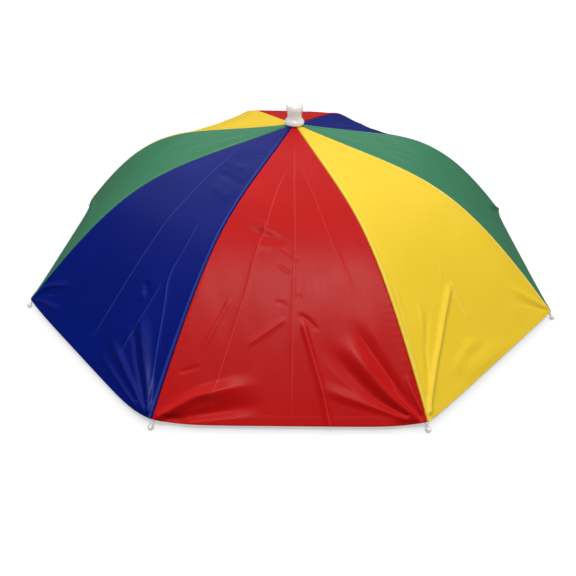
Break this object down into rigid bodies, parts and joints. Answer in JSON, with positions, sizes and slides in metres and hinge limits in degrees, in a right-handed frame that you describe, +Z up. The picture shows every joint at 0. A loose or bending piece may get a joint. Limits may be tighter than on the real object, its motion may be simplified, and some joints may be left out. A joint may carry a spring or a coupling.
{
  "type": "umbrella hat",
  "caption": "Umbrella hat: a domed eight-sided cloth canopy in coloured panels on wire ribs, with plastic tips and cap, worn on the head by an elastic headband.",
  "frame": {"origin": "on the surface that the rib tips stand on, under the middle of the crown", "axes": "+Z up through the crown cap, -Y towards the front panel, +X to the right as seen from the front"},
  "size_m": [0.5237, 0.5292, 0.1734],
  "materials": {
    "red_cloth": "thin woven polyester with a satin sheen",
    "yellow_cloth": "thin woven polyester with a satin sheen",
    "green_cloth": "thin woven polyester with a satin sheen",
    "blue_cloth": "thin woven polyester with a satin sheen",
    "white_plastic": "moulded, glossy, slightly translucent",
    "frame_wire": "drawn steel wire",
    "elastic_band": "woven elastic, matt"
  },
  "bodies": {
    "root": {"panel_front": "red_cloth", "panel_front_right": "yellow_cloth", "panel_right": "green_cloth", "panel_back_right": "blue_cloth", "panel_back": "red_cloth", "panel_back_left": "yellow_cloth", "panel_left": "green_cloth", "panel_front_left": "blue_cloth", "rib_front_left": "frame_wire", "rib_front_right": "frame_wire", "rib_right_front": "frame_wire", "rib_right_back": "frame_wire", "rib_back_right": "frame_wire", "rib_back_left": "frame_wire", "rib_left_back": "frame_wire", "rib_left_front": "frame_wire", "tip_front_left": "white_plastic", "tip_front_right": "white_plastic", "tip_right_front": "white_plastic", "tip_right_back": "white_plastic", "tip_back_right": "white_plastic", "tip_back_left": "white_plastic", "tip_left_back": "white_plastic", "tip_left_front": "white_plastic", "stay_front_left": "frame_wire", "stay_front_right": "frame_wire", "stay_right_front": "frame_wire", "stay_right_back": "frame_wire", "stay_back_right": "frame_wire", "stay_back_left": "frame_wire", "stay_left_back": "frame_wire", "stay_left_front": "frame_wire", "headband": "elastic_band", "hub": "white_plastic", "crown_cap": "white_plastic"}
  },
  "joints": []
}
